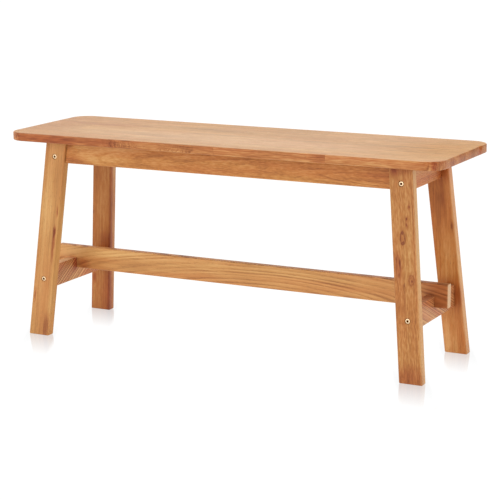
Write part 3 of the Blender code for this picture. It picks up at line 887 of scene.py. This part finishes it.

# The marks follow the knots, stains and streaks that the photograph shows on each board. Some of them are
# painted shade or painted light.
looks = {
    "front_left_leg": look_of(
        wood="#bd864b", heart=(0, -70, -45), seed=(310, 40, 12), rings=0.14, fibres=0.4,
        marks=[
            on_front_left(0.230, 0.0165, (10, 2.4, 4), core=0.65, tone=0.25, swirl=3, red=0.6),
            on_front_left(0.203, 0.0165, (24, 2.3, 4), tone=0.2, red=0.55),
            on_front_left(0.276, 0.0195, (9, 1.5, 3), core=0.45, tone=0.2, red=0.5),
            on_front_left(0.018, 0.0165, (22, 5, 4), core=0.1, tone=0.25, red=0.3),
            on_front_left(0.088, -0.0185, (12, 1.6, 3), core=0.4, tone=0.1, red=0.4),
            on_front_left(0.300, -0.008, (120, 7, 9), tone=-0.14),
            # Painted light: the right-facing side is made lighter.
            leg_side_light_mark("left", "front", tone=-0.2, shine=-0.45),
        ],
    ),
    "front_right_leg": look_of(
        wood="#af7439", heart=(0, 75, -35), seed=(910, 140, 92), rings=0.12, ring=4.6,
        fibre_size=(13, 2.3, 2.3), fibres=1.0,
        marks=[
            on_front_right(0.233, -0.0145, (19, 4.6, 6), rim=0.25, swirl=6, red=0.4),
            on_front_right(0.205, -0.016, (14, 5, 5), tone=-0.12),
            on_front_right(0.239, -0.0105, (11, 2.1, 3), core=1.0),
            on_front_right(0.246, -0.0175, (7, 1.6, 3), core=0.55),
            on_front_right(0.218, -0.0135, (4, 2, 3), core=0.5),
            on_front_right(0.290, -0.0020, (12, 4.6, 6), rim=0.75, tone=0.1, swirl=6, red=0.25),
            on_front_right(0.283, -0.002, (3.4, 2.5, 4), core=0.9),
            on_front_right(0.298, -0.003, (3.6, 2.0, 4), core=0.9),
            on_front_right(0.315, 0.0077, (4.5, 1.8, 3), core=0.7, tone=0.1, red=0.4),
            on_front_right(0.327, 0.0078, (4.5, 2.2, 3), core=0.95, tone=0.1, red=0.4),
            on_front_right(0.351, 0.0145, (5, 2.3, 3), core=0.75, tone=0.1, red=0.4),
            on_front_right(0.209, 0.0125, (10, 5.5, 6), rim=0.4, tone=0.08, swirl=8, red=0.3),
            on_front_right(0.206, 0.0135, (3.6, 2.5, 3), core=0.75),
            on_front_right(0.213, 0.0120, (2.5, 2, 3), core=0.5),
            on_front_right(0.196, -0.003, (4.5, 2, 3), core=0.5, tone=0.1),
            # The next two marks are painted shade, darkening the top of the leg under the seat.
            on_front_right(0.421, -0.014, (7, 5, 5), core=0.2, tone=0.12, red=0.5),
            on_front_right(0.432, 0.0, (12, 25, 8), tone=0.1, red=0.35),
            on_front_right(0.008, 0.0, (20, 30, 10), tone=0.08, red=0.45),
            on_front_right(0.300, 0.0222, (110, 1.4, 3), tone=0.28),
            # Its pale right-facing side is partly paler wood and partly painted light.
            leg_side_light_mark("right", "front", inward=0.011, size=(260, 3, 9), tone=-0.6),
        ],
    ),
    "back_left_leg": look_of(
        wood="#ab6c33", heart=(0, -60, 60), seed=(1310, 240, 52), rings=0.1,
        fibre_size=(20, 2.3, 2.3), fibres=0.5, drift=0.75,
        marks=[
            # Painted shade: a dark red band along the inner edge.
            on_back_left(0.120, 0.0235, (250, 2.6, 6), tone=0.3, red=0.5),
            # Painted light: the right-facing side is made lighter.
            leg_side_light_mark("left", "back", tone=-0.12, shine=0.15),
            # The next two marks are painted shade: at the foot, and by the cross rail.
            on_back_left(0.025, 0.0170, (60, 9, 12), tone=0.12, red=0.4),
            on_back_left(0.165, 0.0140, (20, 12, 12), tone=0.15, red=0.4),
            on_back_left(0.235, -0.0210, (5, 2.2, 3), core=0.6),
            on_back_left(0.079, -0.0170, (11, 3, 4), tone=0.12, red=0.5),
        ],
    ),
    "back_right_leg": look_of(
        wood="#ba7638", heart=(0, 70, 50), seed=(1910, 340, 72), rings=0.12, slant=-0.08,
        fibre_size=(20, 2.3, 2.3), fibres=0.55, drift=0.75,
        marks=[
            on_back_right(0.320, -0.006, (45, 11, 10), tone=0.16, red=0.2),
            on_back_right(0.345, 0.006, (30, 3, 8), tone=0.2, red=0.2),
            on_back_right(0.276, 0.0195, (12, 2.4, 4), core=0.55, tone=0.2),
            # The next two marks are painted shade: at the top under the seat and end apron, and by the cross
            # rail.
            on_back_right(0.405, 0.0, (24, 26, 12), tone=0.12, red=0.4),
            on_back_right(0.130, 0.004, (22, 26, 12), tone=0.03, red=0.35),
            on_back_right(0.050, 0.002, (50, 18, 12), tone=-0.14),
            on_back_right(0.035, -0.018, (40, 7, 8), tone=-0.3),
            on_back_right(0.288, 0.015, (28, 6, 8), tone=0.15),
            # Painted light: the right-facing side is made lighter.
            leg_side_light_mark("right", "back", tone=-0.3, shine=0.25),
        ],
    ),
    "front_long_apron": look_of(
        wood="#be7f3e", heart=(0, -8, -16), seed=(2310, 440, 112), rings=0.2, ring=5.0,
        lean=(0.0, 0.05), sway=4.0, fibre_size=(13, 2.1, 2.1), fibres=0.95,
        marks=[
            # Painted light: lightens the upper apron where the seat shades it.
            on_front_apron(-0.290, 0.412, (70, 14, 12), tone=-0.2),
            on_front_apron(-0.365, 0.388, (26, 9, 12), tone=0.12, red=0.3),
            # The next two marks are painted light, lightening the apron's top where the seat shades it.
            on_front_apron(-0.240, 0.425, (50, 7, 12), tone=-0.2),
            on_front_apron(-0.085, 0.422, (30, 6, 12), tone=-0.2),
            on_front_apron(-0.375, 0.424, (10, 9, 12), tone=0.25, red=0.3),
            on_front_apron(-0.060, 0.392, (100, 9, 12), tone=-0.04, red=0.15),
            on_front_apron(0.400, 0.418, (55, 26, 12), tone=0.12, red=0.25),
            on_front_apron(0.100, 0.408, (14, 12, 8), tone=0.06, swirl=4),
            on_front_apron(-0.200, 0.392, (36, 8, 12), tone=0.1),
            on_front_apron(0.290, 0.392, (28, 8, 12), tone=0.09),
        ],
    ),
    "back_long_apron": look_of(wood="#b8783c", seed=(2910, 540, 132)),
    "left_end_apron": look_of(wood="#b06f3a", seed=(3310, 640, 152)),
    "right_end_apron": look_of(
        wood="#c37f3f", heart=(0, 60, 40), seed=(3910, 740, 172), rings=0.2, rosiness=0.5,
        fibre_size=(10, 2.3, 2.3), fibres=0.9,
        # Painted shade: darkens the apron's outer face next to the back leg.
        marks=[mark((0.42, 0.085, 0.40), (18, 30, 20), tone=0.2, red=0.4)],
    ),
    "left_cross_rail": look_of(
        wood="#bd7644", heart=(0, -260, 0), seed=(4310, 840, 192), rings=1.6, slant=-0.55,
        sway=3.0, sway_size=(120, 60, 60), plainest=0.9, bands=0.1, streaks=0.2, fibres=0.2,
        # Its top is painted lighter, as light on it would make it.
        rosiness=0.6, faded=0.45,
        marks=[
            # Painted shadow: darkens the rail's face next to the stretcher.
            on_left_rail(-0.014, 0.142, (9, 14, 20), tone=0.35, red=0.6),
            on_left_rail(-0.060, 0.112, (40, 7, 20), tone=-0.15),
        ],
    ),
    "right_cross_rail": look_of(
        wood="#b67846", heart=(0, -260, 0), seed=(4910, 940, 212), rings=0.8, ring=3.8, slant=0.45,
        sway=3.0, sway_size=(120, 60, 60), plainest=0.8, bands=0.1, streaks=0.2, fibres=0.2,
        # Its top is painted lighter, as light on it would make it.
        rosiness=0.6, faded=0.25,
        marks=[
            on_right_rail(-0.040, 0.152, (30, 9, 20), tone=0.02, red=0.35),
            on_right_rail(-0.030, 0.112, (30, 60, 7), tone=-0.15),
            on_right_rail(0.030, 0.152, (30, 15, 25), tone=-0.1, red=0.5),
            on_right_rail(0.095, 0.130, (20, 30, 15), tone=-0.12, red=0.3),
        ],
    ),
    "stretcher": look_of(
        wood="#c38c51", heart=(35, -60, -10), seed=(5210, 1040, 232), rings=0.42, ring=7.5, stretch=5.5,
        sway=6.0, sway_size=(180, 50, 50), streaks=0.4, fibres=0.5, sawn_end=0.9, end_wood="#cfa67b",
        marks=[
            # Painted shadow: the front right leg's shadow on the stretcher's right end.
            mark((0.450, -0.012, 0.150), (32, 45, 9), tone=0.05, red=0.5),
            # Painted shadow of the left leg and cross rail on the stretcher's left end.
            on_stretcher(-0.402, 0.138, (11, 9, 10), tone=0.08, red=0.45),
            on_stretcher(-0.285, 0.149, (45, 7, 10), tone=0.16),
            on_stretcher(-0.425, 0.161, (16, 6, 10), tone=0.15),
            on_stretcher(-0.200, 0.170, (130, 6, 10), tone=-0.13),
            # Painted shadow of the left leg and cross rail, low on the stretcher's left end.
            on_stretcher(-0.365, 0.129, (25, 5, 10), tone=0.1, red=0.2),
            on_stretcher(-0.440, 0.165, (25, 12, 10), tone=-0.4),
            on_stretcher(-0.330, 0.166, (90, 14, 12), tone=-0.12),
            on_stretcher(0.130, 0.168, (150, 9, 10), tone=-0.09),
            # Painted shade: a dark line along the top edge, where the seat shades the stretcher's top
            mark((0.0, 0.0, stretcher_top + mark_lift), (900, 1.5, 30), tone=0.3, shine=-0.35),
        ],
    ),
    "seat_panel": look_of(
        wood="#b3733e", staves=True, rings=0.4, streaks=0.75, drift=0.6, rosiness=0.4, rubbed=0.05,
        fibre_size=(30, 2.3, 2.3), fibres=1.35, sawn_end=0.15, end_wood="#b07a5c",
        # Its top is painted paler, as light and sheen on it would make it.
        faded=0.28, faded_wood="#e6c585",
        marks=[
            on_seat_front(-0.400, 0.441, (75, 4, 14), tone=0.1, red=0.4),
            on_seat_front(-0.470, 0.446, (16, 6, 6), tone=0.25, red=0.1),
            on_seat_front(-0.315, 0.446, (20, 5, 5), tone=0.15),
            on_seat_front(-0.375, 0.437, (30, 4, 4), core=0.15),
            on_seat_front(-0.260, 0.441, (26, 4, 9), core=0.1, tone=0.16, red=0.35),
            on_seat_front(-0.150, 0.441, (55, 4, 30), swirl=50, tone=0.06, red=0.1),
            on_seat_front(-0.345, 0.435, (70, 4, 7), tone=0.15),
            mark((0.487, -0.142, 0.440), (5, 5, 14), tone=0.22, red=0.6),
            mark((0.496, -0.126, 0.440), (6, 9, 14), tone=0.05, red=0.2),
            on_seat_front(0.468, 0.440, (9, 5, 14), tone=0.12),
            on_seat_front(0.040, 0.441, (75, 5, 14), tone=0.14),
            on_seat_front(0.212, 0.447, (30, 5, 7), tone=-0.27),
            on_seat_front(0.275, 0.437, (16, 5, 8), tone=-0.1),
            on_seat_front(0.110, 0.438, (30, 5, 5), tone=0.12),
            on_seat_front(0.380, 0.441, (110, 4, 14), tone=0.1),
            on_seat_end(-0.080, 0.441, (4, 8, 14), tone=0.15, red=0.2),
            on_seat_end(-0.055, 0.441, (4, 6, 14), tone=-0.12),
            on_seat_end(-0.030, 0.441, (4, 7, 14), tone=0.15, red=0.2),
            on_seat_end(0.000, 0.441, (4, 9, 14), tone=-0.15),
            on_seat_end(0.038, 0.441, (4, 8, 14), tone=0.35),
            on_seat_end(0.068, 0.441, (4, 7, 14), tone=0.1, red=0.3),
            on_seat_end(0.082, 0.441, (4, 7, 10), tone=-0.15, red=0.5, shine=-0.3),
            on_seat_top(-0.050, -0.060, (210, 45, 7), tone=-0.12, shine=0.85),
            on_seat_top(0.480, 0.020, (110, 120, 7), shine=-0.42),
            on_seat_top(-0.100, 0.130, (300, 25, 7), tone=0.03, shine=-0.14),
            on_seat_top(-0.470, 0.020, (45, 80, 7), tone=0.06, red=0.15),
            on_seat_top(-0.340, 0.045, (60, 22, 7), tone=0.1, red=0.2),
            on_seat_top(-0.080, 0.060, (55, 18, 7), tone=0.14),
            on_seat_top(0.375, 0.013, (60, 2.8, 5), tone=0.5),
            on_seat_top(0.405, -0.043, (50, 2.6, 5), tone=0.45),
            on_seat_top(0.160, -0.100, (40, 3.0, 5), tone=0.3),
            on_seat_top(-0.150, -0.098, (60, 4.0, 5), tone=0.25),
            on_seat_top(-0.040, -0.002, (70, 3.0, 5), tone=0.25),
            on_seat_top(0.330, 0.070, (70, 3.0, 5), tone=0.25),
            on_seat_top(-0.230, -0.075, (50, 7.0, 5), tone=-0.25),
        ],
    ),
}


def dress(made):
    """Puts a board's own finish on it and has it stand for its solid."""
    piece, own_frame = made
    node = piece.name.removeprefix("oak_")
    own = [own_frame.inverted() @ vertex.co for vertex in piece.data.vertices]
    size = [2 * mm_per_metre * max(abs(point[axis]) for point in own) for axis in range(3)]
    name = f"oiled oak, {node.replace('_', ' ')}"
    piece.data.materials.clear()
    piece.data.materials.append(oiled_oak(name, looks[node], size, own_frame))
    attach(piece, "root")
    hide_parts(node)


dress(seat())
for each_side, each_face in itertools.product(sides, faces):
    dress(leg(each_side, each_face))
for each_face in faces:
    dress(long_apron(each_face))
for each_side in sides:
    dress(end_apron(each_side))
    dress(cross_rail(each_side))
dress(stretcher())

bolt_finish = "socket head bolt, yellow zinc plate"
nut_finish = "nut and screw, bright zinc plate"
# Its stain colour browns the socket, partly as a stain and partly as painted shade.
bolt_steel = plated_steel(bolt_finish, colour="#ffdfb4", roughness=0.3, grain=0.5, stain="#4a1e00")
nut_steel = plated_steel(nut_finish, colour="#b9bab8", roughness=0.25, grain=0.6)
shared_bolt = bolt_mesh()
shared_bolt.materials.clear()
shared_bolt.materials.append(bolt_steel)
bolt_places = itertools.product(bolt_heights.items(), sides.items(), faces.items())
for (kind, height), (side_name, side), (face_name, face) in bolt_places:
    head_top = (side * leg_centre_x(height), face * (leg_face_y(height) - bolt_head_recess), height)
    place = pointing(head_top, (0, -face, 0))
    bolt = new_object(f"steel_{face_name}_{side_name}_{kind}_bolt", shared_bolt, place)
    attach(bolt, "root")
    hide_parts(f"{face_name}_{side_name}_{kind}_bolt")

# The dowels are bare beech, drawn as a pale wood with hardly any rings. Their size is in mm.
dowel_size = (30, 8, 8)
bare_beech = oiled_oak("beech dowel, bare", look_of(wood="#dcb581", rings=0.05), dowel_size, Matrix())
for name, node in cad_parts.items():
    if name.endswith("_nut") or "screw" in name or name.endswith("dowel"):
        node.data.materials.clear()
        node.data.materials.append(bare_beech if name.endswith("dowel") else nut_steel)


# Sizes and strengths of the studio

# Lengths are metres, but for the sensor's width in mm. The focal length is in pixels of the photograph.
floor_reach = 20
floor_drop = 0.0002
floor_brightness = 1.06
polish_roughness = 0.05
most_polish = 0.42
polish_slant = 0.5
polish_side_fade = (0.034, 0.048)
polish_end_fade = (0.02, 0.16)
wall_brightness = 1.05
ceiling_brightness = 0.35
wall_fade = (0.22, 0.75)
sun_spread = math.radians(40)
sun_height = 3
sensor_width_mm = 36.0
photo_width_px = 500
focal_px = 1697.846
eye = (1.64276, -3.14914, 0.97409)
yaw, pitch, roll = 0.47699, -0.21319, -0.0075


# Studio: a white floor that runs out of sight, soft lights and the camera

def studio_floor():
    """A white lit floor, polished in a slanting patch at each foot for a short reflection that fades out."""
    shape = bmesh.new()
    bmesh.ops.create_grid(shape, x_segments=1, y_segments=1, size=floor_reach)
    floor = new_object("floor", mesh_from(shape, "floor"), Matrix.Translation((0, 0, -floor_drop)))
    material, tree, _ = new_finish("floor, white")
    place = add(tree, "TexCoord").outputs["Object"]
    foot_x, foot_y = leg_centre_x(0), leg_face_y(0) - leg_thickness / 2
    polish = None
    for x, y in itertools.product((-foot_x, foot_x), (-foot_y, foot_y)):
        from_foot = add(tree, "VectorMath", (place, (x, y, 0)), operation="SUBTRACT")
        off = add(tree, "SeparateXYZ", (from_foot,)).outputs
        slanted = add(tree, "Math", (off["Y"], polish_slant, off["X"]), operation="MULTIPLY_ADD")
        aside = add(tree, "Math", (slanted,), operation="ABSOLUTE")
        ahead = add(tree, "Math", (off["Y"],), operation="ABSOLUTE")
        beside = add(tree, "MapRange", (aside, *polish_side_fade, 1.0, 0.0))
        before = add(tree, "MapRange", (ahead, *polish_end_fade, most_polish, 0.0))
        patch = add(tree, "Math", (beside, before), operation="MULTIPLY")
        polish = add(tree, "Math", (polish, patch), operation="MAXIMUM") if polish else patch
    glow = add(tree, "Emission", {"Strength": floor_brightness})
    gloss = add(tree, "BsdfAnisotropic", {"Roughness": polish_roughness})
    lit = add(tree, "MixShader", (polish, glow, gloss))
    tree.links.new(live_output(lit), tree.nodes["Material Output"].inputs["Surface"])
    floor.data.materials.append(material)


def soft_sun(name, azimuth, elevation, power):
    """A far soft light. Azimuth 0 is straight in front of the bench and 90 at its right end."""
    data = bpy.data.lights.new(name, "SUN")
    data.energy = power * math.pi
    data.angle = sun_spread
    turn, rise = math.radians(azimuth), math.radians(elevation)
    towards = (math.sin(turn) * math.cos(rise), -math.cos(turn) * math.cos(rise), math.sin(rise))
    new_object(name, data, pointing((0, 0, sun_height), towards))


def studio_walls():
    """White walls, bright near the floor and dimmer overhead."""
    world = bpy.data.worlds.new("studio")
    world.use_nodes = True
    tree = world.node_tree
    height = add(tree, "SeparateXYZ", (add(tree, "TexCoord").outputs["Generated"],)).outputs["Z"]
    brightness = (height, *wall_fade, wall_brightness, ceiling_brightness)
    glow = add(tree, "MapRange", brightness, interpolation_type="SMOOTHSTEP")
    tree.links.new(live_output(glow), tree.nodes["Background"].inputs["Strength"])
    tree.nodes["Background"].inputs["Color"].default_value = (1, 1, 1, 1)
    bpy.context.scene.world = world


def studio_camera():
    """The photograph's own view, found from the bench's straight edges and the seat's outline."""
    ahead = Vector((-math.sin(yaw) * math.cos(pitch), math.cos(yaw) * math.cos(pitch), math.sin(pitch)))
    flat = Vector((math.cos(yaw), math.sin(yaw), 0))
    up = flat.cross(ahead)
    right = math.cos(roll) * flat + math.sin(roll) * up
    above = -math.sin(roll) * flat + math.cos(roll) * up
    data = bpy.data.cameras.new("camera")
    data.sensor_width = sensor_width_mm
    data.lens = focal_px / photo_width_px * sensor_width_mm
    turn = Matrix((right, above, -ahead)).transposed().to_4x4()
    bpy.context.scene.camera = new_object("camera", data, Matrix.Translation(eye) @ turn)


studio_floor()
studio_walls()
soft_sun("key light, front left", azimuth=-12, elevation=14, power=0.27)
soft_sun("left light, high", azimuth=-80, elevation=50, power=0.4)
soft_sun("back light, high", azimuth=180, elevation=50, power=0.4)
soft_sun("right light, low", azimuth=110, elevation=15, power=0.15)
studio_camera()
bpy.context.scene.view_settings.view_transform = "Standard"
